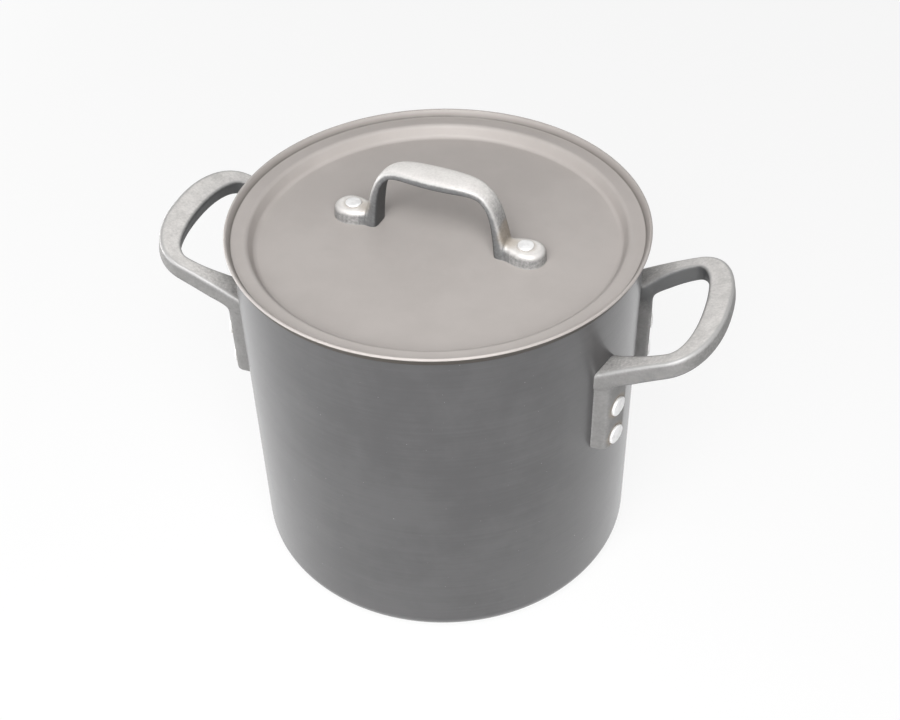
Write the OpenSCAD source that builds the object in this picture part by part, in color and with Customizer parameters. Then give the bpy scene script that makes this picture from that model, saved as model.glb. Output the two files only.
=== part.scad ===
// Stock pot with a lift-off lid, in hard-anodised aluminium.
// A drawn pot carries two cast loop handles, and an inset lid carries a cast bow handle.
// All handles are held by solid rivets.
// Millimetres, +Z up, origin at the centre of the base, side handles along X.

/* [Pot] */
// Outside diameter of the straight wall
pot_diameter = 222; // [200:1:300]
// Height of the rim above the surface that the pot stands on
pot_height = 204.2; // [150:0.1:300]
// Thickness of the wall
wall = 3.2; // [2:0.1:4]
// Thickness of the flat base
base_thickness = 4; // [3:0.1:8]
// Outside radius where the wall turns into the base
corner_radius = 9; // [6:0.5:20]
// Chamfer on both edges of the rim
rim_chamfer = 0.6; // [0.2:0.1:0.9]

/* [Lid] */
// How far the turned-up lip stands out past the pot's wall
lid_overhang = 3.5; // [3:0.1:6]
// Thickness of the lid's sheet
lid_thickness = 1.8; // [1.2:0.1:2.4]
// Height of the lip above the flange
lip_height = 4.1; // [3:0.1:6]
// Angle of the lip above the flange
lip_angle = 66; // [50:1:80]
// Radius of the bend between flange and lip
lip_bend = 1; // [0.6:0.1:2]
// Depth of the flat panel below the flange
panel_depth = 7.3; // [6:0.1:14]
// Gap between the lid's step and the inside of the pot
plug_gap = 4.5; // [2:0.1:6]
// Angle of the step above the panel
step_angle = 66; // [50:1:80]
// Radius of the bend between step and flange
shoulder_radius = 3; // [2.5:0.1:5]
// Radius of the bend between panel and step
foot_radius = 3; // [2:0.1:6]
// How far the lid is turned from the line of the side handles
lid_turn = -5.6; // [-180:0.1:180]

/* [Lid handle] */
// Distance between the two rivets
bow_span = 102; // [90:1:130]
// Height of the bow above the panel
bow_height = 40.3; // [32:0.1:50]
// Width of the bow in the middle
bow_width = 17.2; // [14:0.1:20]
// Distance from the middle at which the bow has narrowed to its legs' width
bow_taper = 27; // [20:1:40]
// Width of the bow's legs
bow_leg_width = 12.2; // [10:0.1:14]
// Thickness of the bow at its shoulders
bow_thickness = 5; // [4:0.1:7]
// How much deeper the bow is in the middle
bow_belly = 1.6; // [0:0.1:3]
// How much thicker a leg is at the panel
bow_flare = 3.6; // [0:0.1:5]
// Height above the panel at which a leg stops getting thinner
bow_flare_height = 28; // [15:1:30]
// Distance from a rivet to the leg beside it, at the panel
bow_leg_offset = 10.5; // [10:0.5:14]
// How far each leg leans in over its height
bow_lean = 9; // [0:0.5:12]
// How square the bow's shoulders are
bow_squareness = 5.3; // [3:0.1:8]
// Diameter of the round pad under each rivet
pad_diameter = 18.6; // [16:0.1:24]
// Distance from a rivet out to the centre of its pad's round end
pad_shift = 2.2; // [0:0.1:4]
// Height of the pad
pad_height = 8; // [5:0.1:10]
// Width of the foot where it runs in under the leg
foot_width = 12.4; // [12:0.1:16]

/* [Side handles] */
// Width over both arms of a loop
loop_width = 94.4; // [80:0.2:110]
// How far a loop stands out from the wall
loop_reach = 48.9; // [42:0.1:65]
// Depth of the loop's curved end, in plan
loop_bow_depth = 25.6; // [22:0.1:32]
// How square the curved end is
loop_squareness = 2.25; // [2:0.05:4]
// Width of the grip, in plan
grip_width = 13.6; // [10:0.1:16]
// Width of an arm, in plan
arm_width = 9.5; // [7:0.1:12]
// How much wider an arm is where it meets the wall
arm_flare = 9.2; // [6:0.1:13]
// Depth of the loop's sides at the wall
loop_thickness = 11; // [9:0.1:13]
// Depth of the grip's sides
grip_thickness = 9.5; // [8:0.1:12]
// How far a loop's sides lean over with the slope of its top, from upright to square with it
loop_lean = 0.6; // [0:0.05:1]
// Depth of the loop's top below the rim, at the wall
loop_drop = 39.2; // [30:0.1:60]
// Slope of the loop's top at the wall
loop_slope = 0.55; // [0.3:0.01:0.6]
// How much that slope eases off towards the grip, per millimetre
loop_ease = 0.0035; // [0:0.0001:0.004]
// Height of a leg, from its foot to the top of the loop
leg_height = 53.5; // [48:0.5:70]
// Width of a leg along the wall
leg_width = 16.6; // [14:0.1:19]
// Thickness of a leg out from the wall
leg_thickness = 7.7; // [5:0.1:10]
// Radius between the leg and the underside of its arm
leg_fillet = 5; // [2:0.1:6]
// Chamfer at the foot of a leg
leg_chamfer = 1.2; // [0.4:0.1:2]
// Set-back of a leg's side from the side of its arm
leg_inset = 0.6; // [0.3:0.1:1]

/* [Rivets] */
// Shank diameter of a side handle's rivet
rivet_diameter = 6; // [4:0.1:7]
// Head diameter of a side handle's rivet
rivet_head = 11.8; // [9:0.1:13]
// Height of that head
rivet_head_height = 2; // [1.5:0.1:3]
// Height from a leg's foot to its lower rivet
rivet_edge = 7.2; // [7:0.1:10]
// Distance between a leg's two rivets
rivet_pitch = 20.5; // [18:0.5:26]
// Shank diameter of a lid rivet
lid_rivet_diameter = 5; // [3:0.1:6]
// Head diameter of a lid rivet
lid_rivet_head = 9.6; // [8:0.1:12]
// Height of that head
lid_rivet_head_height = 1.6; // [1:0.1:2.5]
// Share of a head's height that is its upright rim
head_rim_share = 0.5; // [0.2:0.05:0.8]
// Thickness of the closed heads inside the pot and under the lid
tail_height = 1.6; // [1:0.1:2.5]

/* [Hidden] */
$fn = 96;
// Finer rounding of the pot, the lid and the rivets' domes
fine = 192;

// Clearance where a leg or a rivet's tail seats on the curved wall
seat_clearance = 0.05;
// Clearance of a shank in its hole, on the radius
shank_clearance = 0.05;
// Overlap that makes a cut run clear through
through = 1;
// How far a leg and its fillet run up into the arm
leg_lap = 3;
// Points round each section of a cast bar, and how square that section is
section_points = 16;
section_squareness = 5;
// Steps round each bend of the lid's sheet and each leg fillet
bend_points = 8;
// Rings along each arm, degrees between rings round a curved end, and a small part of such a step
arm_rings = 5;
bend_step = 7.5;
small_step = 0.5;

pot_radius = pot_diameter / 2;
mouth_radius = pot_radius - wall;
inner_corner = max(corner_radius - wall, wall);

// Heights of the lid at rest: its flange lies on the rim
flange_top = pot_height + lid_thickness;
panel_top = flange_top - panel_depth;
panel_bottom = panel_top - lid_thickness;

// The lip: a bend, a straight run along the middle of the sheet, and a round end
lip_round = lid_thickness / 2;
lip_middle = lip_bend + lip_round;
lip_end = [pot_radius + lid_overhang - lip_round, flange_top + lip_height - lip_round];
lip_run = (lip_end.y - flange_top - lip_bend + lip_middle * cos(lip_angle)) / sin(lip_angle);
lip_root = lip_end.x - lip_run * cos(lip_angle) - lip_middle * sin(lip_angle);

// The step between panel and flange: two bends and a straight run, tangent to each other
step_run = (panel_depth - (shoulder_radius + foot_radius) * (1 - cos(step_angle))) / sin(step_angle);
shoulder_centre = mouth_radius - plug_gap + shoulder_radius - lid_thickness;
panel_radius = shoulder_centre - (shoulder_radius + foot_radius) * sin(step_angle)
    - step_run * cos(step_angle);

// The side handles
loop_half = loop_width / 2;
loop_tip = pot_radius + loop_reach;
bend_start = loop_tip - loop_bow_depth;
loop_root = sqrt(pow(pot_radius, 2) - pow(loop_half, 2));
loop_top = pot_height - loop_drop;
leg_foot = loop_top - leg_height;
leg_outer = loop_half - leg_inset;
leg_inner = leg_outer - leg_width;
leg_face = pot_radius + leg_thickness;
leg_angle = asin((leg_outer + leg_inner) / 2 / leg_face);
rivet_heights = [leg_foot + rivet_edge, leg_foot + rivet_edge + rivet_pitch];

// The lid's handle
bow_base = bow_span / 2 - bow_leg_offset;
bow_rise = bow_height - bow_thickness / 2;
// The bow starts halfway up its pads
bow_start = asin(pow(pad_height / 2 / bow_rise, bow_squareness / 2));

// A power that keeps its sign, for rounded-square curves
function signed_power(value, power) = sign(value) * pow(abs(value), power);
function unit(v) = v / norm(v);
function between(from, to, share) = from + (to - from) * share;

// Points on an arc
function arc(centre, radius, from, to, steps) = [
    for (i = [0:steps])
        let (a = between(from, to, i / steps)) centre + radius * [cos(a), sin(a)]
];

// One section of a cast bar: a rounded square spanned by two half-axes
function section(centre, across, up) = [
    for (i = [0:section_points - 1])
        let (a = 360 * i / section_points, power = 2 / section_squareness)
            centre + across * signed_power(cos(a), power) + up * signed_power(sin(a), power)
];

// A closed skin over a row of sections
module skin(rings) {
    count = len(rings[0]);
    last = (len(rings) - 1) * count;
    sides = [
        for (j = [0:len(rings) - 2], i = [0:count - 1])
            let (k = (i + 1) % count, a = j * count, b = a + count)
                each [[a + i, b + k, b + i], [a + i, a + k, b + k]]
    ];
    first_cap = [for (i = [count - 1:-1:0]) i];
    last_cap = [for (i = [0:count - 1]) last + i];
    polyhedron(points = [for (ring = rings) each ring], faces = concat([first_cap], sides, [last_cap]));
}

// A solid rivet along +Z: head above the origin, shank and closed head below it
module rivet(shank, head, head_height, grip, tail) {
    rim = head_height * head_rim_share;
    cap = head_height - rim;
    dome = (pow(head / 2, 2) + pow(cap, 2)) / (2 * cap);
    intersection() {
        cylinder(d = head, h = head_height);
        translate([0, 0, head_height - dome]) sphere(r = dome, $fn = fine);
    }
    translate([0, 0, -grip - tail / 2]) cylinder(d = shank, h = grip + tail / 2 + head_height / 2);
    translate([0, 0, -grip - tail]) cylinder(d = head, h = tail);
}

// Puts a child, made along +Z, on one of the eight places on the handles' legs
module at_leg(place) {
    side = floor(place / 4);
    leg = floor(place / 2) % 2;
    rotate([0, 0, 180 * side + leg_angle * (2 * leg - 1)])
        translate([leg_face, 0, rivet_heights[place % 2]])
            rotate([0, 90, 0])
                children();
}

// Puts a child on one of the two places on the lid's handle, at the panel
module at_foot(place) {
    rotate([0, 0, lid_turn + 180 * place])
        translate([bow_span / 2, 0, panel_top])
            children();
}

// The space taken up by the pot's wall, for what seats on its outside
module wall_space() {
    cylinder(r = pot_radius + seat_clearance, h = 2 * pot_height, $fn = fine);
}

module pot_body() color("dimgray") difference() {
    rotate_extrude($fn = fine) difference() {
        union() {
            square([pot_radius - corner_radius, pot_height]);
            translate([pot_radius - corner_radius, corner_radius]) circle(r = corner_radius);
            translate([0, corner_radius])
                polygon([
                    [0, 0],
                    [pot_radius, 0],
                    [pot_radius, pot_height - corner_radius - rim_chamfer],
                    [pot_radius - rim_chamfer, pot_height - corner_radius],
                    [0, pot_height - corner_radius]
                ]);
        }
        translate([0, base_thickness]) square([mouth_radius - inner_corner, pot_height]);
        translate([mouth_radius - inner_corner, base_thickness + inner_corner]) circle(r = inner_corner);
        polygon([
            [0, base_thickness + inner_corner],
            [mouth_radius, base_thickness + inner_corner],
            [mouth_radius, pot_height - rim_chamfer],
            [mouth_radius + rim_chamfer, pot_height],
            [mouth_radius + rim_chamfer, pot_height + through],
            [0, pot_height + through]
        ]);
    }
    for (place = [0:7])
        at_leg(place)
            translate([0, 0, -leg_thickness - wall - through])
                cylinder(r = rivet_diameter / 2 + shank_clearance, h = leg_thickness + wall + through);
}

// Height of a loop's top surface, its slope, its thickness and its underside, at a distance from the axis
function top_height(x) = loop_top + loop_slope * (x - loop_root) - loop_ease * pow(x - loop_root, 2) / 2;
function top_slope(x) = loop_slope - loop_ease * (x - loop_root);
function thickness(x) = between(loop_thickness, grip_thickness, (x - loop_root) / (loop_tip - loop_root));
function underside(x) = top_height(x) - thickness(x) * (1 + loop_lean * pow(top_slope(x), 2));

// One section of a loop between an outer and an inner point of its plan, below the top surface
function loop_section(outer, inner, outer_height, inner_height) =
    let (
        a = [outer.x, outer.y, outer_height],
        b = [inner.x, inner.y, inner_height],
        up = [-loop_lean * top_slope(outer.x), 0, 1] * thickness(outer.x) / 2
    )
        section((a + b) / 2 - up, (a - b) / 2, up);

// An arm's section, from the wall (share 0) to the start of the curved end (share 1)
function arm_section(share, side) =
    let (
        inner_half = loop_half - arm_width - arm_flare * pow(1 - share, 2),
        inner_root = sqrt(pow(pot_radius, 2) - pow(inner_half, 2)),
        x = between(loop_root - wall / 2, bend_start, share),
        inner_x = between(inner_root - wall / 2, bend_start, share)
    )
        loop_section(
            [x, side * loop_half],
            [inner_x, side * inner_half],
            top_height(x),
            top_height(x)
        );

// A section of the curved end, at an angle round it
function bend_section(angle) =
    let (
        power = 2 / loop_squareness,
        c = signed_power(cos(angle), power),
        s = signed_power(sin(angle), power),
        outer = [bend_start + loop_bow_depth * c, loop_half * s],
        inner = [bend_start + (loop_bow_depth - grip_width) * c, (loop_half - arm_width) * s]
    )
        loop_section(outer, inner, top_height(outer.x), top_height(inner.x));

// An upright profile, drawn out from the axis, put across a leg between two distances to the side
module across_leg(side, inner, outer) intersection() {
    rotate([0, 0, side * leg_angle])
        rotate([90, 0, 0])
            linear_extrude(height = loop_width, center = true)
                children();
    translate([0, side > 0 ? inner : -outer, 0]) cube([2 * pot_radius, outer - inner, pot_height]);
}

// One leg, before it is fitted to the wall, and the fillet between its face and the underside of its arm
module leg(side) {
    face = leg_face * cos(leg_angle);
    back = mouth_radius * cos(leg_angle);
    slope = top_slope(face);
    centre = [leg_face + leg_fillet, underside(face) + leg_fillet * (slope - norm([1, slope]))];
    bend = arc(centre, leg_fillet, 180, 90 + atan(slope), bend_points);
    end = bend[bend_points];
    across_leg(side, leg_inner, leg_outer)
        polygon([
            [mouth_radius, leg_foot],
            [leg_face - leg_chamfer, leg_foot],
            [leg_face, leg_foot + leg_chamfer],
            [leg_face, underside(face) + leg_lap],
            [mouth_radius, underside(back) + leg_lap]
        ]);
    across_leg(side, loop_half - arm_width, leg_outer)
        polygon(concat(
            [[leg_face - through, centre.y]],
            bend,
            [[end.x, end.y + leg_lap], [leg_face - through, underside(face) + leg_lap]]
        ));
}

module loop_handle() difference() {
    union() {
        skin(concat(
            [for (i = [0:arm_rings - 1]) arm_section(i / arm_rings, -1)],
            [for (a = [-90:bend_step:90]) bend_section(a)],
            [for (i = [arm_rings - 1:-1:0]) arm_section(i / arm_rings, 1)]
        ));
        for (side = [-1, 1]) leg(side);
    }
    wall_space();
    for (place = [0:3])
        at_leg(place)
            translate([0, 0, -leg_thickness - through])
                cylinder(r = rivet_diameter / 2 + shank_clearance, h = leg_thickness + 2 * through);
}

module handle_right() color("darkgray") loop_handle();

module handle_left() color("darkgray") rotate([0, 0, 180]) loop_handle();

// Eight rivets, counted from 1: two on each leg, four on each handle
module handle_rivet(number) color("gainsboro") difference() {
    at_leg(number - 1)
        rivet(
            rivet_diameter,
            rivet_head,
            rivet_head_height,
            leg_thickness + wall - through,
            tail_height + through
        );
    difference() {
        cylinder(r = pot_radius, h = pot_height, $fn = fine);
        cylinder(r = mouth_radius - seat_clearance, h = pot_height, $fn = fine);
        at_leg(number - 1)
            translate([0, 0, -leg_thickness - wall - through])
                cylinder(d = rivet_diameter, h = leg_thickness + wall + through);
    }
}

module lid() color("gray") difference() {
    foot_bend = [panel_radius, panel_top + foot_radius];
    shoulder_bend = [shoulder_centre, flange_top - shoulder_radius];
    root = [lip_root, flange_top + lip_bend];
    rotate_extrude($fn = fine)
        polygon(concat(
            [[0, panel_bottom], [0, panel_top]],
            arc(foot_bend, foot_radius, -90, -90 + step_angle, bend_points),
            arc(shoulder_bend, shoulder_radius, 90 + step_angle, 90, bend_points),
            arc(root, lip_bend, -90, lip_angle - 90, bend_points),
            arc(lip_end, lip_round, lip_angle + 90, lip_angle - 90, bend_points),
            arc(root, lip_bend + lid_thickness, lip_angle - 90, -90, bend_points),
            arc(shoulder_bend, shoulder_radius - lid_thickness, 90, 90 + step_angle, bend_points),
            arc(foot_bend, foot_radius + lid_thickness, -90 + step_angle, -90, bend_points)
        ));
    for (place = [0, 1])
        at_foot(place)
            translate([0, 0, -lid_thickness - through])
                cylinder(r = lid_rivet_diameter / 2 + shank_clearance, h = lid_thickness + 2 * through);
}

// Middle line of the bow, in its own upright plane, at an angle round it
function bow_point(angle) =
    let (
        power = 2 / bow_squareness,
        lift = signed_power(sin(angle), power)
    )
        [(bow_base - bow_lean * lift) * signed_power(cos(angle), power), panel_top + bow_rise * lift];

// A section of the bow: its top keeps to the middle line, and the belly and the legs' flare lie below that
function bow_section(angle) =
    let (
        middle = bow_point(angle),
        along = unit(bow_point(angle - small_step) - bow_point(angle + small_step)),
        up = [-along.y, 0, along.x],
        grip = max(0, 1 - pow(middle.x / bow_taper, 2)),
        base = max(0, 1 - (middle.y - panel_top) / bow_flare_height),
        below = bow_belly * grip + bow_flare * base
    )
        section(
            [middle.x, 0, middle.y] - up * below / 2,
            [0, between(bow_leg_width, bow_width, grip) / 2, 0],
            up * (bow_thickness + below) / 2
        );

// One foot: a round pad that narrows in under the leg
module foot(place) {
    inner_radius = foot_width / 2;
    inner = inner_radius - bow_leg_offset - bow_thickness / 2 - bow_flare;
    pad_radius = pad_diameter / 2;
    at_foot(place) linear_extrude(height = pad_height) {
        translate([pad_shift, 0]) circle(r = pad_radius);
        translate([inner, 0]) circle(r = inner_radius);
        polygon([
            [pad_shift, pad_radius],
            [0, pad_radius],
            [inner, inner_radius],
            [inner, -inner_radius],
            [0, -pad_radius],
            [pad_shift, -pad_radius]
        ]);
    }
}

module lid_handle() color("silver") difference() {
    union() {
        rotate([0, 0, lid_turn])
            skin(concat(
                [bow_section(bow_start)],
                [for (a = [bend_step:bend_step:180 - bend_step]) bow_section(a)],
                [bow_section(180 - bow_start)]
            ));
        for (place = [0, 1]) foot(place);
    }
    for (place = [0, 1])
        at_foot(place)
            translate([0, 0, -through])
                cylinder(r = lid_rivet_diameter / 2 + shank_clearance, h = pad_height + 2 * through);
}

module lid_rivet(number) color("gainsboro")
    at_foot(number - 1)
        translate([0, 0, pad_height])
            rivet(
                lid_rivet_diameter,
                lid_rivet_head,
                lid_rivet_head_height,
                pad_height + lid_thickness,
                tail_height
            );

pot_body();
handle_right();
handle_left();
for (i = [1:8]) handle_rivet(i);
lid();
lid_handle();
for (i = [1:2]) lid_rivet(i);
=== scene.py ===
from math import asin, atan, cos, degrees, hypot, pi, radians, sin, sqrt

import bmesh
import bpy
import numpy as np
from mathutils import Matrix, Vector, noise


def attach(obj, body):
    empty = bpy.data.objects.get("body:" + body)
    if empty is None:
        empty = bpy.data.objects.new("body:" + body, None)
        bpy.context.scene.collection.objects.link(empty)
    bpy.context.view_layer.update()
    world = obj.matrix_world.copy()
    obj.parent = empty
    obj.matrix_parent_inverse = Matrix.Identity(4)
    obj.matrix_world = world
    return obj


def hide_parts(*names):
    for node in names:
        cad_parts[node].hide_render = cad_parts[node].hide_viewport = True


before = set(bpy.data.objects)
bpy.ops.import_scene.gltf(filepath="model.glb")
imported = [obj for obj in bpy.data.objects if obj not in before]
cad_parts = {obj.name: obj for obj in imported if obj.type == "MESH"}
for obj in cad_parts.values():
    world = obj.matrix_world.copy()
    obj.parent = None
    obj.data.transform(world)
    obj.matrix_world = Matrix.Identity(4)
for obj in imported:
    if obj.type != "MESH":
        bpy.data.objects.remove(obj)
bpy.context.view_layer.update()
mm = 0.001  # shapes are worked out in millimetres, like the solids


# shader maths: a wrapped socket that Python's operators can work on

class Wire:
    def __init__(self, tree, socket=None):
        self.tree = tree
        self.socket = socket

    def node(self, kind, settings={}, values={}, out=0):
        made = self.tree.nodes.new("ShaderNode" + kind)
        for name, value in settings.items():
            setattr(made, name, value)
        for name, value in values.items():
            if isinstance(value, Wire):
                self.tree.links.new(value.socket, made.inputs[name])
            else:
                made.inputs[name].default_value = value
        return Wire(self.tree, made.outputs[out] if made.outputs else None)

    def maths(self, operation, a, b):
        return self.node("Math", {"operation": operation}, {0: a, 1: b})

    def __add__(self, other):
        return self.maths("ADD", self, other)

    def __radd__(self, other):
        return self.maths("ADD", other, self)

    def __sub__(self, other):
        return self.maths("SUBTRACT", self, other)

    def __rsub__(self, other):
        return self.maths("SUBTRACT", other, self)

    def __mul__(self, other):
        return self.maths("MULTIPLY", self, other)

    def __rmul__(self, other):
        return self.maths("MULTIPLY", other, self)

    def ramp(self, low, high, start=0.0, stop=1.0):  # a smooth step from start to stop
        settings = {"interpolation_type": "SMOOTHSTEP"}
        return self.node("MapRange", settings, {0: self, 1: low, 2: high, 3: start, 4: stop})

    def tint(self, first, second):  # from one colour to another, by this value
        return self.node("Mix", {"data_type": "RGBA"}, {0: self, 6: first, 7: second}, 2)

    def noise(self, place, scale, detail=3.0, roughness=0.55):
        values = {"Vector": place, "Scale": scale, "Detail": detail, "Roughness": roughness}
        return self.node("TexNoise", {}, values)

    def bump(self, height, strength, distance):
        values = {"Height": height, "Strength": strength, "Distance": distance}
        return self.node("Bump", {}, values)


def newFinish(name):
    material = bpy.data.materials.new(name)
    material.use_nodes = True
    material.node_tree.nodes.clear()
    return material, Wire(material.node_tree)


def surface(wire, values):
    shader = wire.node("BsdfPrincipled", {}, values)
    wire.node("OutputMaterial", {}, {"Surface": shader})


def shade(value, warmth=0.0):  # a grey, warmer above zero and cooler below
    return (value * (1 + warmth), value, value * (1 - warmth), 1)


# mesh helpers

def arcPoints(centre, radius, start, stop, steps):
    turns = [radians(start + (stop - start) * i / steps) for i in range(steps + 1)]
    return [(centre[0] + radius * cos(a), centre[1] + radius * sin(a)) for a in turns]


def held(profile, room=0.5):  # a point beside each end of a long run, so that flats stay flat
    points = [profile[0]]
    for (r, z), (s, y) in zip(profile, profile[1:]):
        run = hypot(s - r, y - z)
        if run > 4 * room:
            share = room / run
            points.append((r + (s - r) * share, z + (y - z) * share))
            points.append((s - (s - r) * share, y - (y - z) * share))
        points.append((s, y))
    return points


def revolve(bm, profile, around):
    rows = []
    for r, z in profile:
        turns = [2 * pi * i / around for i in range(around if r > 0 else 1)]
        rows.append([bm.verts.new(Vector((r * cos(a), r * sin(a), z)) * mm) for a in turns])
    for low, high in zip(rows, rows[1:]):
        for i in range(around):
            k = (i + 1) % around
            if len(low) == 1:
                bm.faces.new((low[0], high[k], high[i]))
            elif len(high) == 1:
                bm.faces.new((low[i], low[k], high[0]))
            else:
                bm.faces.new((low[i], low[k], high[k], high[i]))


def sweep(bm, rings):
    rows = [[bm.verts.new(Vector(p) * mm) for p in ring] for ring in rings]
    for low, high in zip(rows, rows[1:]):
        for i in range(len(low)):
            k = (i + 1) % len(low)
            bm.faces.new((low[i], low[k], high[k], high[i]))
    bm.faces.new(rows[0][::-1])
    bm.faces.new(rows[-1])


def makePiece(name, bm, finish):
    bmesh.ops.recalc_face_normals(bm, faces=bm.faces)
    mesh = bpy.data.meshes.new(name)
    bm.to_mesh(mesh)
    bm.free()
    mesh.shade_smooth()
    mesh.materials.append(finish)
    piece = bpy.data.objects.new(name, mesh)
    bpy.context.scene.collection.objects.link(piece)
    return piece


def meshPoints(mesh, name):
    values = np.empty(len(mesh.vertices) * 3)
    mesh.vertices.foreach_get(name, values)
    return values.reshape(-1, 3)


def meshLinks(mesh):  # both ends of every edge, and how many edges meet at each point
    ends = np.empty(len(mesh.edges) * 2, int)
    mesh.edges.foreach_get("vertices", ends)
    a, b = ends.reshape(-1, 2).T
    return a, b, np.bincount(ends, minlength=len(mesh.vertices))


def neighbours(values, a, b, links):  # the mean over each point's neighbours
    total = np.bincount(a, values[b], len(links)) + np.bincount(b, values[a], len(links))
    return total / links


def castPiece(name, bm, finish, sizes, softSpots, stains, paintedLight):  # overlapping forms become one casting
    rough = makePiece(name + "Rough", bm, finish)
    skin = rough.modifiers.new("skin", "REMESH")
    skin.mode = "VOXEL"
    skin.voxel_size = sizes["voxel"] * mm
    mesh = bpy.data.meshes.new_from_object(rough.evaluated_get(bpy.context.evaluated_depsgraph_get()))
    bpy.data.objects.remove(rough)
    mesh.name = name
    tumble(mesh, sizes["tumbling"], softSpots)
    markEdges(mesh)
    markStains(mesh, stains)
    # the mark of painted light and shade
    setMark(mesh, "lightAndShade", paintedLight(meshPoints(mesh, "co") / mm, meshPoints(mesh, "normal")))
    mesh.shade_smooth()
    mesh.materials.clear()
    mesh.materials.append(finish)
    piece = bpy.data.objects.new(name, mesh)
    bpy.context.scene.collection.objects.link(piece)
    return piece


def tumble(mesh, rounds, softSpots, extraRounds=40, pull=0.5, core=1.6):  # softens edges, some of them more
    place = meshPoints(mesh, "co")
    a, b, links = meshLinks(mesh)
    soft = np.zeros(len(place))
    for spot, reach in softSpots:
        away = np.linalg.norm(place - np.array(spot) * mm, axis=1) / (reach * mm)
        soft = np.maximum(soft, np.clip(core * (1 - away), 0, 1))
    for i in range(rounds + extraRounds):
        strength = pull if i < rounds else pull * soft
        step = np.stack([neighbours(axis, a, b, links) for axis in place.T], 1) - place
        place += step * np.broadcast_to(strength, len(place))[:, None]
    mesh.vertices.foreach_set("co", place.ravel())
    mesh.update()


def setMark(mesh, name, values):
    mark = mesh.attributes.new(name, "FLOAT", "POINT")
    mark.data.foreach_set("value", values.astype(np.float32))


def markStains(mesh, stains, fade=2.5):  # point values: 1 beside each rivet head, fading outwards
    place = meshPoints(mesh, "co")
    stained = np.zeros(len(place))
    for spot, reach in stains:
        away = np.linalg.norm(place - np.array(spot) * mm, axis=1) / mm
        stained = np.maximum(stained, np.clip((reach - away) / fade, 0, 1))
    setMark(mesh, "stained", stained)


def markEdges(mesh, gain=6.0, spread=4):  # point values: 0.5 on flats, 1 on worn edges, 0 in hollows
    place, normal = meshPoints(mesh, "co"), meshPoints(mesh, "normal")
    a, b, links = meshLinks(mesh)
    step = place[b] - place[a]
    step /= np.linalg.norm(step, axis=1)[:, None]
    count = len(place)
    bend = np.bincount(b, (step * normal[b]).sum(1), count) - np.bincount(a, (step * normal[a]).sum(1), count)
    bend /= links
    for i in range(spread):
        bend = (bend + neighbours(bend, a, b, links)) / 2
    setMark(mesh, "worn", np.clip(0.5 + gain * bend, 0, 1))


def dress(piece, body, slot, *nodes):
    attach(piece, body)
    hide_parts(*nodes)
    print(piece.name, len(piece.data.polygons), "faces for", ", ".join(nodes))


# finishes

anodising = dict(grain=2600, speck=900, speckFrom=0.79, speckTo=0.83, lathe=(16, 16, 620), coatRough=0.25)
# under is a painted shade colour, laid on what faces down and at the root of the lid's lip
potLook = dict(
    dark=(0.064, 0.0625, 0.065, 1), light=(0.083, 0.0815, 0.084, 1), under=shade(0.05), metal=0.45, rough=0.4,
    coat=0.9, blotch=16, cloud=55, lines=0.25,
)
lidLook = dict(
    dark=(0.395, 0.365, 0.347, 1), light=(0.43, 0.399, 0.38, 1), under=shade(0.04, 0.2), metal=0.04,
    rough=0.55, coat=0.0, blotch=14, cloud=45, lines=0.0,
)


def hardAnodised(name, look):
    material, wire = newFinish(name)
    place = wire.node("TexCoord", out="Object")
    blotch = wire.noise(place, look["blotch"], 4)
    cloud = wire.noise(place, look["cloud"], 6, 0.65)
    grain = wire.noise(place, anodising["grain"], 2)
    speck = wire.noise(place, anodising["speck"], 1).ramp(anodising["speckFrom"], anodising["speckTo"])
    lathe = wire.node("VectorMath", {"operation": "MULTIPLY"}, {0: place, 1: anodising["lathe"]})
    lines = wire.noise(lathe, 1, 3, 0.7)  # fine marks from spinning the wall
    tone = (blotch * 0.6 + cloud * 0.4 + (lines - 0.5) * look["lines"]).ramp(0.36, 0.64)
    colour = tone.tint(look["dark"], look["light"])
    colour = (speck * 0.5).tint(colour, shade(0.5))
    upward = wire.node("SeparateXYZ", {}, {0: wire.node("TexCoord", out="Normal")}, 2)
    colour = (0.0 - upward).ramp(0.1, 0.4).tint(colour, look["under"])  # painted shade on what faces down
    # painted shade at the root of the lid's lip and on its inward face
    lipShade = wire.node("Attribute", {"attribute_name": "lipShade"}, out="Fac")
    colour = (lipShade * (0.5 + cloud * 0.4)).tint(colour, look["under"])
    surface(wire, {
        "Base Color": colour,
        "Metallic": look["metal"],
        "Roughness": look["rough"] + (cloud - 0.5) * 0.12 + (grain - 0.5) * 0.08,
        "Normal": wire.bump(grain, 0.12, 0.0002),
        "Coat Weight": look["coat"],
        "Coat Roughness": anodising["coatRough"],
    })
    return material


casting = dict(cloud=140, skin=700, pits=1900, hollowDark=shade(0.1, 0.02), stain=(0.3, 0.24, 0.17, 1))
# in castLook and bowLook, topDark and top are painted light for what faces up, and the darkest colour is
# painted shade
castLook = dict(
    dark=shade(0.18, 0.015), light=shade(0.235, 0.02), topDark=shade(0.48, 0.03), top=shade(0.68, 0.03),
    paintedShade=shade(0.1, -0.01), edge=shade(0.36, 0.01), metal=0.25, rough=0.52,
)
bowLook = dict(
    dark=shade(0.13, -0.02), light=shade(0.185, -0.01), topDark=shade(0.64, 0.035), top=shade(0.74, 0.03),
    paintedShade=shade(0.06, -0.02), edge=shade(0.45, 0.02), metal=0.25, rough=0.5,
)


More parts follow.
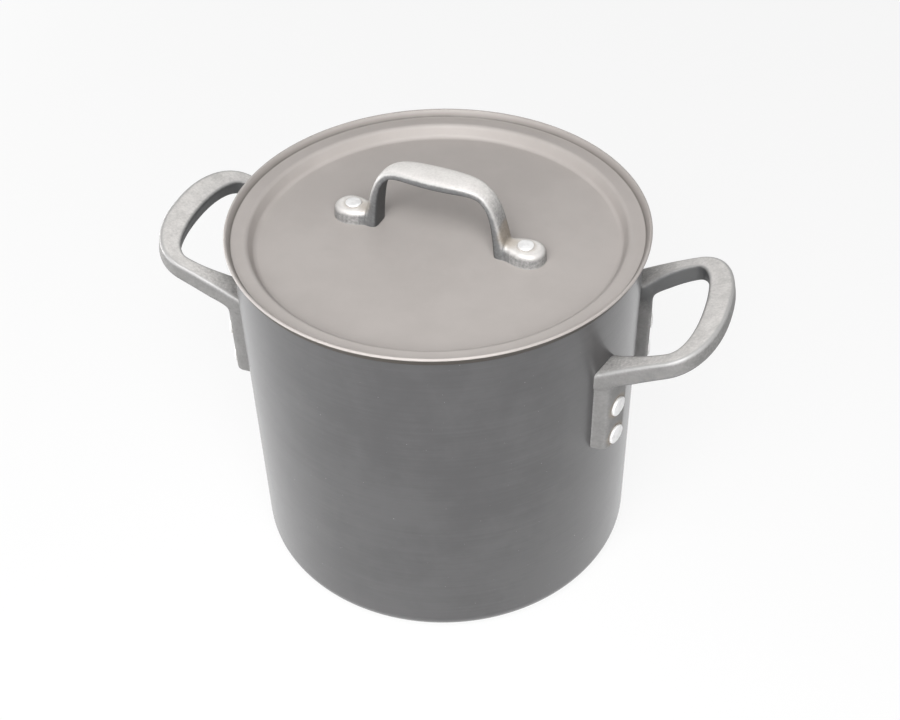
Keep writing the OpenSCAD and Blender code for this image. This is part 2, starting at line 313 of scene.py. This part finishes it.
def tumbledCasting(name, look):
    material, wire = newFinish(name)
    place = wire.node("TexCoord", out="Object")
    worn = wire.node("Attribute", {"attribute_name": "worn"}, out="Fac")
    stained = wire.node("Attribute", {"attribute_name": "stained"}, out="Fac")
    cloud = wire.noise(place, casting["cloud"], 5, 0.6)
    skin = wire.noise(place, casting["skin"], 4, 0.6)
    pits = wire.noise(place, casting["pits"], 2).ramp(0.3, 0.42)
    tone = (cloud * 0.5 + skin * 0.5).ramp(0.3, 0.7)
    colour = tone.tint(look["dark"], look["light"])
    lightAndShade = wire.node("Attribute", {"attribute_name": "lightAndShade"}, out="Fac") + (skin - 0.5) * 0.35
    # painted light: what faces up is lighter
    colour = lightAndShade.ramp(0.1, 0.8).tint(colour, tone.tint(look["topDark"], look["top"]))
    # painted shade inside the loop and on the bow's flanks and belly
    colour = (0.0 - lightAndShade).ramp(0.1, 0.6).tint(colour, look["paintedShade"])
    # worn edges painted lighter, kept to where the painted light lies, so partly wear and partly a painted
    # highlight
    rubbed = worn.ramp(0.56, 0.86) * (0.55 + 0.6 * skin) * lightAndShade.ramp(-0.2, 0.3)
    colour = rubbed.tint(colour, look["edge"])
    # darker in the hollows
    hollowDark = (0.5 - worn).ramp(0.03, 0.3)
    colour = (hollowDark * 0.5).tint(colour, casting["hollowDark"])
    colour = (stained * (0.2 + cloud * 0.6)).tint(colour, casting["stain"])
    height = skin * 0.6 + pits * 0.4
    surface(wire, {
        "Base Color": colour,
        "Metallic": look["metal"],
        "Roughness": look["rough"] + (skin - 0.5) * 0.16 + hollowDark * 0.1 - rubbed * 0.05,
        "Normal": wire.bump(height, 0.2, 0.0003),
    })
    return material


rivetLook = dict(
    bright=shade(0.84, 0.003), dull=shade(0.7, 0.005), skin=700, patch=240, metal=0.3, rough=0.32,
)


def hammeredRivet(name, look):
    material, wire = newFinish(name)
    place = wire.node("TexCoord", out="Object")
    skin = wire.noise(place, look["skin"], 3)
    dull = wire.noise(place, look["patch"], 4).ramp(0.4, 0.7)
    surface(wire, {
        "Base Color": dull.tint(look["bright"], look["dull"]),
        "Metallic": look["metal"],
        "Roughness": look["rough"] + dull * 0.15,
        "Normal": wire.bump(skin, 0.2, 0.0002),
    })
    return material


potFinish = hardAnodised("hardAnodisedPot", potLook)
lidFinish = hardAnodised("hardAnodisedLid", lidLook)
castFinish = tumbledCasting("satinCasting", castLook)
bowFinish = tumbledCasting("paleCasting", bowLook)
rivetFinish = hammeredRivet("brightRivet", rivetLook)
print("finishes ready")


# the pot: one drawn shell, turned about its axis

pot = dict(radius=111.0, rim=204.2, wall=3.2, floor=4.0, corner=9.0, innerCorner=5.8, lip=0.6, around=288)


def potProfile():
    r, rim, lip, corner, inner = pot["radius"], pot["rim"], pot["lip"], pot["corner"], pot["innerCorner"]
    mouth = r - pot["wall"]
    return (
        [(0, 0)]
        + arcPoints((r - corner, corner), corner, -90, 0, 14)
        + arcPoints((r - lip, rim - lip), lip, 0, 90, 6)
        + arcPoints((mouth + lip, rim - lip), lip, 90, 180, 6)
        + arcPoints((mouth - inner, pot["floor"] + inner), inner, 0, -90, 12)
        + [(0, pot["floor"])]
    )


bm = bmesh.new()
revolve(bm, held(potProfile()), pot["around"])
dress(makePiece("potShell", bm, potFinish), "pot", "pot", "pot_body")


# the lid: a pressed sheet with a turned-up lip

lid = dict(
    thickness=1.8, overhang=3.49, lipHeight=4.1, lipAngle=66, lipBend=1.0, panelDepth=7.3, gap=4.5,
    stepAngle=66, shoulder=3.0, foot=3.0, around=288, turn=-5.6,
    # reach, height and least amount of the painted shade on the lip
    lipShadeReach=3.0, lipShadeHeight=2.0, leastLipShade=0.15,
)
flangeTop = pot["rim"] + lid["thickness"]
panelTop = flangeTop - lid["panelDepth"]


def lidProfile():
    thick, angle, shoulder, foot = (lid[k] for k in ("thickness", "stepAngle", "shoulder", "foot"))
    lean = radians(angle)
    run = (lid["panelDepth"] - (shoulder + foot) * (1 - cos(lean))) / sin(lean)
    shoulderAt = (pot["radius"] - pot["wall"] - lid["gap"] + shoulder - thick, flangeTop - shoulder)
    footAt = (shoulderAt[0] - (shoulder + foot) * sin(lean) - run * cos(lean), panelTop + foot)
    turned, bend, middle = lid["lipAngle"], lid["lipBend"], lid["lipBend"] + thick / 2
    end = (pot["radius"] + lid["overhang"] - thick / 2, flangeTop + lid["lipHeight"] - thick / 2)
    rise = (end[1] - flangeTop - bend + middle * cos(radians(turned))) / sin(radians(turned))
    root = (end[0] - rise * cos(radians(turned)) - middle * sin(radians(turned)), flangeTop + bend)
    return (
        [(0, panelTop)]
        + arcPoints(footAt, foot, -90, -90 + angle, 12)
        + arcPoints(shoulderAt, shoulder, 90 + angle, 90, 12)
        + arcPoints(root, bend, -90, turned - 90, 10)
        + arcPoints(end, thick / 2, turned + 90, turned - 90, 18)
        + arcPoints(root, bend + thick, turned - 90, -90, 12)
        + arcPoints(shoulderAt, shoulder - thick, 90, 90 + angle, 12)
        + arcPoints(footAt, foot + thick, -90 + angle, -90, 12)
        + [(0, panelTop - thick)]
    )


def paintLipShade(mesh):  # painted shade: most at the root of the lip, on the face that looks inward
    place, normal = meshPoints(mesh, "co") / mm, meshPoints(mesh, "normal")
    radius = np.hypot(place[:, 0], place[:, 1])
    inward = -(place[:, :2] * normal[:, :2]).sum(1) / np.maximum(radius, 1)
    crease = np.clip(1.2 - (place[:, 2] - flangeTop) / lid["lipShadeHeight"], lid["leastLipShade"], 1)
    return np.clip(2 * inward - 0.4, 0, 1) * crease * (radius > pot["radius"] - lid["lipShadeReach"])


bm = bmesh.new()
revolve(bm, held(lidProfile()), lid["around"])
lidSheet = makePiece("lidSheet", bm, lidFinish)
setMark(lidSheet.data, "lipShade", paintLipShade(lidSheet.data))
dress(lidSheet, "lid", "lid", "lid")


# the side handles: a sloping cast loop on two legs that seat on the wall

loop = dict(
    half=47.2, tip=159.7, bendDepth=25.6, squareness=2.25, gripWidth=13.6, armWidth=9.5, flare=9.2,
    depth=11.0, gripDepth=9.5, lean=0.6, top=165.0, slope=0.55, ease=0.0035, draft=0.05,
    roundness=7.0, rootRoundness=2.8, around=40, armRings=14, bendRings=60, voxel=0.55, tumbling=4,
    wallShadeReach=35, holeMiddle=5, holeFrom=145, holeFade=20, holeShade=1.2, rootLight=0.4,
)
leg = dict(
    foot=111.5, width=16.6, inset=0.6, face=118.7, outerCorner=3.2, innerCorner=1.6, footRound=1.4,
    fillet=5.5, lap=4.0, rivetHeights=(118.7, 139.2), backSteps=10, sideSteps=6, softReach=10, stainReach=8.5,
)
seat = pot["radius"] - 0.6  # pressed in a little, so that no worn edge shows at the wall
loopRoot = sqrt(pot["radius"] ** 2 - loop["half"] ** 2)
bendStart = loop["tip"] - loop["bendDepth"]
legOuter = loop["half"] - leg["inset"]
legInner = legOuter - leg["width"]
legAngle = asin((legOuter + legInner) / 2 / leg["face"])
quarter = [radians(15 * i) for i in range(7)]  # a rounded edge in six steps


def between(start, stop, share):
    return start + (stop - start) * share


def signedPower(value, power):
    return abs(value) ** power * (1 if value >= 0 else -1)


def topHeight(x):
    return loop["top"] + loop["slope"] * (x - loopRoot) - loop["ease"] * (x - loopRoot) ** 2 / 2


def topSlope(x):
    return loop["slope"] - loop["ease"] * (x - loopRoot)


def loopDepth(x):
    return between(loop["depth"], loop["gripDepth"], (x - loopRoot) / (loop["tip"] - loopRoot))


def underside(x):
    return topHeight(x) - loopDepth(x) * (1 + loop["lean"] * topSlope(x) ** 2)


def loopRing(outer, inner, innerRoundness):  # a rounded section that hangs below the sloping top
    a = Vector((*outer, topHeight(outer[0])))
    b = Vector((*inner, topHeight(inner[0])))
    up = Vector((-loop["lean"] * topSlope(outer[0]), 0, 1)) * loopDepth(outer[0]) / 2
    ring = []
    for i in range(loop["around"]):
        turn = 2 * pi * i / loop["around"]
        roundness = innerRoundness if cos(turn) < 0 < sin(turn) else loop["roundness"]
        across = signedPower(cos(turn), 2 / roundness)
        lift = signedPower(sin(turn), 2 / roundness)
        across += loop["draft"] * (1 - lift) / 2 * (1 - across) / 2
        ring.append((a + b) / 2 - up + (a - b) / 2 * across + up * lift)
    return ring


def armInner(share):
    return loop["half"] - loop["armWidth"] - loop["flare"] * (1 - share) ** 2


def armRing(share, side):  # the inner top edge is softest at the wall
    innerRoot = sqrt(pot["radius"] ** 2 - armInner(0) ** 2)
    ring = loopRing(
        (between(loopRoot, bendStart, share), side * loop["half"]),
        (between(innerRoot, bendStart, share), side * armInner(share)),
        between(loop["rootRoundness"], loop["roundness"], share),
    )
    if share == 0:
        ring = [Vector((sqrt(seat ** 2 - p.y ** 2), p.y, p.z)) for p in ring]
    return ring


def bendRing(angle):
    power = 2 / loop["squareness"]
    c, s = signedPower(cos(angle), power), signedPower(sin(angle), power)
    outer = (bendStart + loop["bendDepth"] * c, loop["half"] * s)
    inner = (bendStart + (loop["bendDepth"] - loop["gripWidth"]) * c, (loop["half"] - loop["armWidth"]) * s)
    return loopRing(outer, inner, loop["roundness"])


def legFront(distance, y):  # where a leg's flat front is, at a distance from the pot's axis
    return (distance - sin(legAngle) * y) / cos(legAngle)


def roundCorner(before, corner, after, radius, steps=6):
    start = corner + (before - corner).normalized() * radius
    stop = corner + (after - corner).normalized() * radius
    shares = [i / steps for i in range(steps + 1)]
    return [start * (1 - t) ** 2 + corner * 2 * t * (1 - t) + stop * t ** 2 for t in shares]


def legRing(side, z, inset):
    inner, outer = legInner + inset, legOuter - inset
    face = leg["face"] - inset
    backs = [between(inner, outer, i / leg["backSteps"]) for i in range(leg["backSteps"] + 1)]
    wall = [Vector((sqrt(seat ** 2 - y ** 2), y)) for y in backs]
    near, far = Vector((legFront(face, outer), outer)), Vector((legFront(face, inner), inner))
    ring = wall + roundCorner(wall[-1], near, far, leg["outerCorner"])
    ring += roundCorner(near, far, wall[0], leg["innerCorner"])
    return [Vector((p.x, side * p.y, z if z else underside(p.x) + leg["lap"])) for p in ring]


def legRings(side):
    soft = leg["footRound"]
    foot = [legRing(side, leg["foot"] + soft * (1 - cos(a)), soft * (1 - sin(a))) for a in quarter]
    return foot + [legRing(side, None, 0)]


def filletRings(side):  # the hollow between a leg's front and the underside of its arm
    face, radius = leg["face"], leg["fillet"]
    slope = topSlope(face * cos(legAngle))
    under = underside(face * cos(legAngle))
    centre = (face + radius, under + radius * (slope - hypot(1, slope)))
    bend = arcPoints(centre, radius, 180, 90 + degrees(atan(slope)), 8)
    back, lap = face - 2, leg["lap"]
    outline = [(back, centre[1])] + bend + [(bend[-1][0], bend[-1][1] + lap), (back, under + lap)]
    near = loop["half"] - loop["armWidth"] - 1
    sides = [between(near, legOuter, i / leg["sideSteps"]) for i in range(leg["sideSteps"] + 1)]
    return [[Vector((legFront(d, y), side * y, z)) for d, z in outline] for y in sides]


def loopPaintedLight(place, normal):  # painted light and shade: lighter on what faces up, less so near the wall, darker on the faces inside the loop
    middle = np.sign(place[:, 0]) * (bendStart - loop["holeMiddle"])
    inward = np.stack([middle - place[:, 0], -place[:, 1]], 1)
    inward /= np.linalg.norm(inward, axis=1)[:, None]
    inside = np.maximum((inward * normal[:, :2]).sum(1) - 0.3, 0)
    inside *= np.clip((place[:, 2] - loop["holeFrom"]) / loop["holeFade"], 0, 1)
    reach = np.clip((np.hypot(place[:, 0], place[:, 1]) - pot["radius"]) / loop["wallShadeReach"], 0, 1)
    return normal[:, 2] * between(loop["rootLight"], 1, reach) - loop["holeShade"] * inside


def loopHandle(name, turned, node):
    bm = bmesh.new()
    arms = [i / loop["armRings"] for i in range(loop["armRings"])]
    bends = [-pi / 2 + pi * i / loop["bendRings"] for i in range(loop["bendRings"] + 1)]
    start, stop = [armRing(t, -1) for t in arms], [armRing(t, 1) for t in arms[::-1]]
    sweep(bm, start + [bendRing(a) for a in bends] + stop)
    for side in (-1, 1):
        sweep(bm, legRings(side))
        sweep(bm, filletRings(side))
    around = Matrix.Rotation(turned, 4, "Z")
    bm.transform(around)
    middle = (legOuter + legInner) / 2
    join = Vector((legFront(leg["face"] + 1, middle + 3), middle + 3, underside(leg["face"] * cos(legAngle))))
    web = Vector((legFront(leg["face"] - 1, legInner + 1), legInner + 1, join.z + leg["lap"]))
    soft = [Vector((p.x, side * p.y, p.z)) for p in (join, web) for side in (-1, 1)]
    softSpots = [(around @ spot, leg["softReach"]) for spot in soft]
    heads = [
        Matrix.Rotation(side * legAngle, 4, "Z") @ Vector((leg["face"], 0, z))
        for side in (-1, 1) for z in leg["rivetHeights"]
    ]
    stains = [(around @ spot, leg["stainReach"]) for spot in heads]
    dress(castPiece(name, bm, castFinish, loop, softSpots, stains, loopPaintedLight), "pot", "side_handle", node)


loopHandle("loopRight", 0, "handle_right")
loopHandle("loopLeft", pi, "handle_left")


# the rivets: bright hammered heads outside, closed heads inside

rivet = dict(shank=3.0, head=5.8, height=1.6, rim=0.65, edge=0.7, tail=1.6, around=48, dent=0.12)
lidRivet = dict(shank=2.5, head=4.6, height=1.4, rim=0.5, edge=0.9, tail=1.6, around=48, dent=0.12)
hammer = dict(above=0.4, scale=0.6, wander=0.4, apart=7.3, shrink=0.97, wobble=0.06)


def headProfile(sizes, lift, sign):  # from the edge of a head to its crown
    head, edge = sizes["head"], sizes["edge"]
    rim = lift * sizes["rim"]
    dome = [(head - edge + edge * cos(a), rim + edge * sin(a) * 0.6) for a in (0, 0.4, 0.8, 1.2)]
    last = dome[-1]
    shares = (0.15, 0.3, 0.45, 0.6, 0.75, 0.9)
    crown = [(last[0] * (1 - t), between(last[1], lift, 1 - (1 - t) ** 2)) for t in shares]
    return [(r, sign * z) for r, z in [(head, 0)] + dome + crown + [(0, lift)]]


def hammeredHead(name, sizes, grip, place, seed):
    tail = [(r, z - grip) for r, z in headProfile(sizes, sizes["tail"], -1)]
    shank = [(sizes["shank"], -grip), (sizes["shank"], 0)]
    bm = bmesh.new()
    revolve(bm, tail[::-1] + shank + headProfile(sizes, sizes["height"], 1), sizes["around"])
    for v in bm.verts:  # hammer marks on the head
        if v.co.z > sizes["height"] * hammer["above"] * mm:
            spot = v.co / mm * hammer["scale"] + Vector((seed * hammer["apart"], 0, 0))
            v.co.z -= sizes["dent"] * mm * (1 + noise.noise(spot))
            v.co.xy *= hammer["shrink"] + hammer["wobble"] * noise.noise(spot * hammer["wander"])
    bm.transform(place)
    return makePiece(name, bm, rivetFinish)


legGrip = leg["face"] - pot["radius"] + pot["wall"] - 0.2
for number in range(8):
    turn = pi * (number // 4) + legAngle * (1 if number // 2 % 2 else -1)
    spot = Vector((leg["face"], 0, leg["rivetHeights"][number % 2])) * mm
    place = Matrix.Rotation(turn, 4, "Z") @ Matrix.Translation(spot) @ Matrix.Rotation(pi / 2, 4, "Y")
    piece = hammeredHead(f"legRivet{number + 1}", rivet, legGrip, place, number)
    dress(piece, "pot", "rivet", f"handle_rivet_{number + 1}")


# the lid's handle: a flat bow on two round pads

bow = dict(
    span=51.0, height=40.3, width=17.2, taper=27.0, legWidth=12.2, baseWidth=13.4, thickness=5.0,
    legOffset=10.5, legShare=0.8, lean=9.0, squareness=5.3, belly=1.6, topRound=3.0, underRound=4.5,
    flare=3.6, flareHeight=28.0, around=40, legRings=24, barRings=60,
    pad=9.3, padShift=2.2, padHeight=8.0, padRound=2.8, padDraft=0.1, footWidth=12.2, footEnd=34.6, sunk=0.6,
    voxel=0.45, tumbling=5, softReach=6, softShift=2.5, headStain=6.5, legStain=9, stainShift=2,
)
bowBase = bow["span"] - bow["legOffset"]
bowRise = bow["height"] - bow["thickness"] / 2


def bowPoint(turn):
    power = 2 / bow["squareness"]
    lift = signedPower(sin(turn), power)
    reach = (bowBase - bow["lean"] * lift) * signedPower(cos(turn), power)
    return Vector((reach, 0, panelTop + bowRise * lift))


def bowRing(turn):  # widest and deepest in the middle of the grip, with legs that flare at the foot
    middle = bowPoint(turn)
    along = (bowPoint(turn - 0.001) - bowPoint(turn + 0.001)).normalized()
    up = Vector((-along.z, 0, along.x))
    grip = max(0, 1 - (middle.x / bow["taper"]) ** 2)
    base = max(0, 1 - (middle.z - panelTop) / bow["flareHeight"]) ** 1.3
    slim = bow["legWidth"]
    width = slim + (bow["width"] - slim) * grip + (bow["baseWidth"] - slim) * base
    above = bow["thickness"] / 2
    below = above + bow["belly"] * grip + bow["flare"] * base
    ring = []
    for i in range(bow["around"]):
        a = 2 * pi * i / bow["around"]
        power = 2 / (bow["topRound"] if sin(a) > 0 else bow["underRound"])
        c, s = signedPower(cos(a), power), signedPower(sin(a), power)
        ring.append(middle + Vector((0, c * width / 2, 0)) + up * s * (above if s > 0 else below))
    return ring


def footOutline(inset):  # a round pad that narrows in under the leg, seen from above
    pad, narrow = bow["pad"] - inset, bow["footWidth"] / 2 - inset
    inner = bow["footEnd"] + bow["footWidth"] / 2
    return (
        arcPoints((bow["span"] + bow["padShift"], 0), pad, -90, 90, 28)
        + arcPoints((bow["span"], 0), pad, 90, 104, 3)
        + arcPoints((inner, 0), narrow, 104, 256, 16)
        + arcPoints((bow["span"], 0), pad, 256, 270, 3)
    )


def footRings():
    soft, draft = bow["padRound"], bow["padDraft"]
    top = bow["padHeight"]
    levels = [(-bow["sunk"], 0)]
    levels += [(top - soft + soft * sin(a), soft * (1 - cos(a))) for a in quarter]
    outlines = [(z, footOutline(inset + draft * max(0, z))) for z, inset in levels]
    return [[Vector((x, y, panelTop + z)) for x, y in outline] for z, outline in outlines]


bowLightShade = dict(
    hoopPast=4, middle=0.4, gain=4, darkest=-0.6, flankLow=-0.2, flankHigh=0.12, padHigh=0.25, lift=0.65,
)


def bowPaintedLight(place, normal):  # painted light and shade: lighter on the outer hoop and on what faces up, darker on the flanks and belly
    turned = radians(lid["turn"])
    along = np.abs(place[:, 0] * cos(turned) + place[:, 1] * sin(turned))
    flank = np.abs(normal[:, 1] * cos(turned) - normal[:, 0] * sin(turned))
    lift = np.clip((place[:, 2] - panelTop) / bowRise, 0, None)
    power = bow["squareness"]
    outside = (along / (bowBase - bow["lean"] * lift)) ** power + lift ** power - 1
    skin = np.clip(bowLightShade["middle"] + bowLightShade["gain"] * outside, bowLightShade["darkest"], 1)
    hoop = along < bowBase + bowLightShade["hoopPast"]
    kept = np.clip(skin, bowLightShade["flankLow"], bowLightShade["flankHigh"])
    skin += (kept - skin) * np.clip(2.5 * flank - 1.5, 0, 1) * hoop
    most = np.where(hoop, bowLightShade["flankHigh"], bowLightShade["padHigh"])
    return np.minimum(skin, most + bowLightShade["lift"] * normal[:, 2])


bm = bmesh.new()
lifts = [bow["legShare"] * i / bow["legRings"] for i in range(bow["legRings"])]
rises = [asin(lift ** (bow["squareness"] / 2)) for lift in lifts]
shoulder = asin(bow["legShare"] ** (bow["squareness"] / 2))
turns = [between(shoulder, pi - shoulder, i / bow["barRings"]) for i in range(bow["barRings"] + 1)]
hoop = [bowRing(a) for a in rises + turns + [pi - a for a in rises[::-1]]]
ends = [[p - Vector((0, 0, bow["sunk"])) for p in ring] for ring in (hoop[0], hoop[-1])]
sweep(bm, ends[:1] + hoop + ends[1:])
feet = footRings()
sweep(bm, feet)
sweep(bm, [[Vector((-p.x, -p.y, p.z)) for p in ring] for ring in feet])
lidTurn = Matrix.Rotation(radians(lid["turn"]), 4, "Z")
bm.transform(lidTurn)
padTop = panelTop + bow["padHeight"]


def bothSides(x, z, reach):  # a spot on each side of the lid's middle, turned with the lid
    return [(lidTurn @ Vector((side * x, 0, z)), reach) for side in (-1, 1)]


softSpots = bothSides(bowBase + bow["softShift"], padTop, bow["softReach"])
stains = bothSides(bow["span"], padTop, bow["headStain"])
stains += bothSides(bowBase + bow["stainShift"], panelTop + bow["flareHeight"] / 2, bow["legStain"])
bowCasting = castPiece("lidBow", bm, bowFinish, bow, softSpots, stains, bowPaintedLight)
dress(bowCasting, "lid", "lid_handle", "lid_handle")

for number in range(2):
    turn = Matrix.Rotation(radians(lid["turn"]) + pi * number, 4, "Z")
    place = turn @ Matrix.Translation(Vector((bow["span"], 0, padTop)) * mm)
    lidGrip = bow["padHeight"] + lid["thickness"]
    piece = hammeredHead(f"lidRivet{number + 1}", lidRivet, lidGrip, place, 20 + number)
    dress(piece, "lid", "rivet", f"lid_rivet_{number + 1}")


# the studio: a pale floor, a soft room and three soft boxes

studio = dict(
    floorSize=6.0, floorShade=0.9, floorGlow=0.88, aimHeight=0.12,
    roomDim=0.06, roomBright=0.12, roomTilt=0.04, roomLift=58,
    sidePlace=(-1.0, 0.3, 0.11), sideSize=(1.8, 0.2), sidePower=10,
    topPlace=(-0.04, -0.42, 0.78), topSize=(0.4, 0.4), topPower=3.4,
    frontPlace=(-0.16, -0.9, 0.74), frontSize=(1.2, 0.9), frontPower=13.4,
)


def backdropRays(wire):  # the camera, metal and glass all see the white background
    direct, glossy, through = (
        wire.node("LightPath", out=name) for name in ("Is Camera Ray", "Is Glossy Ray", "Is Transmission Ray")
    )
    return wire.maths("MAXIMUM", wire.maths("MAXIMUM", direct, glossy), through)


def whiteFloor():
    material, wire = newFinish("paperFloor")
    seen = backdropRays(wire)
    paper = wire.node("BsdfDiffuse", {}, {"Color": shade(studio["floorShade"])})
    glow = wire.node("Emission", {}, {"Color": shade(1), "Strength": 1})
    mixed = wire.node("MixShader", {}, {0: seen * studio["floorGlow"], 1: paper, 2: glow})
    wire.node("OutputMaterial", {}, {"Surface": mixed})
    return material


view = dict(
    turn=20.46, yaw=0.0079, pitch=0.7212, roll=-0.0271, place=(0, -0.58369, 0.62232),
    focal=1325.94, pictureWidth=900, sensorWidth=36,
)
viewTurn = Matrix.Rotation(radians(view["turn"]), 4, "Z")
half = studio["floorSize"] / 2
bm = bmesh.new()
bm.faces.new([bm.verts.new((x * half, y * half, 0)) for x, y in ((-1, -1), (1, -1), (1, 1), (-1, 1))])
floor = makePiece("paperFloor", bm, whiteFloor())

world = bpy.data.worlds.new("softRoom")
world.use_nodes = True
world.node_tree.nodes.clear()
bpy.context.scene.world = world
wire = Wire(world.node_tree)
aim = wire.node("TexCoord", out="Generated")
lift = radians(studio["roomLift"])  # the room is brightest in front and above
bright, sideways = (
    wire.node("VectorMath", {"operation": "DOT_PRODUCT"}, {0: aim, 1: viewTurn @ Vector(axis)}, 1)
    for axis in ((0, -cos(lift), sin(lift)), (1, 0, 0))
)
level = bright.ramp(-0.05, 0.8, studio["roomDim"], studio["roomBright"]) - sideways * studio["roomTilt"]
level = level + backdropRays(wire) * (1 - level)  # a white background
wire.node("OutputWorld", {}, {"Surface": wire.node("Background", {}, {"Color": shade(1), "Strength": level})})


def softBox(name, place, size, power):
    lamp = bpy.data.lights.new(name, "AREA")
    lamp.shape = "RECTANGLE"
    lamp.size, lamp.size_y = size
    lamp.energy = power
    box = bpy.data.objects.new(name, lamp)
    box.location = place
    facing = Vector((0, 0, studio["aimHeight"])) - place
    box.rotation_euler = facing.to_track_quat("-Z", "Y").to_euler()
    bpy.context.scene.collection.objects.link(box)


for name in ("side", "top", "front"):
    place = viewTurn @ Vector(studio[name + "Place"])
    softBox(name + "Box", place, studio[name + "Size"], studio[name + "Power"])
bpy.context.scene.view_settings.view_transform = "Standard"

yaw, pitch, roll = view["yaw"], view["pitch"], view["roll"]
forward = Vector((sin(yaw) * cos(pitch), cos(yaw) * cos(pitch), -sin(pitch)))
across = Vector((cos(yaw), -sin(yaw), 0))
upright = across.cross(forward)
right = cos(roll) * across + sin(roll) * upright
up = cos(roll) * upright - sin(roll) * across
pose = Matrix((right, up, -forward)).transposed().to_4x4()
pose.translation = Vector(view["place"])
lens = bpy.data.cameras.new("photoView")
lens.sensor_width = view["sensorWidth"]
lens.lens = view["sensorWidth"] * view["focal"] / view["pictureWidth"]
lens.clip_start, lens.clip_end = 0.01, 50
camera = bpy.data.objects.new("photoView", lens)
camera.matrix_world = viewTurn @ pose
bpy.context.scene.collection.objects.link(camera)
bpy.context.scene.camera = camera
print("studio and camera ready")

bpy.context.view_layer.update()
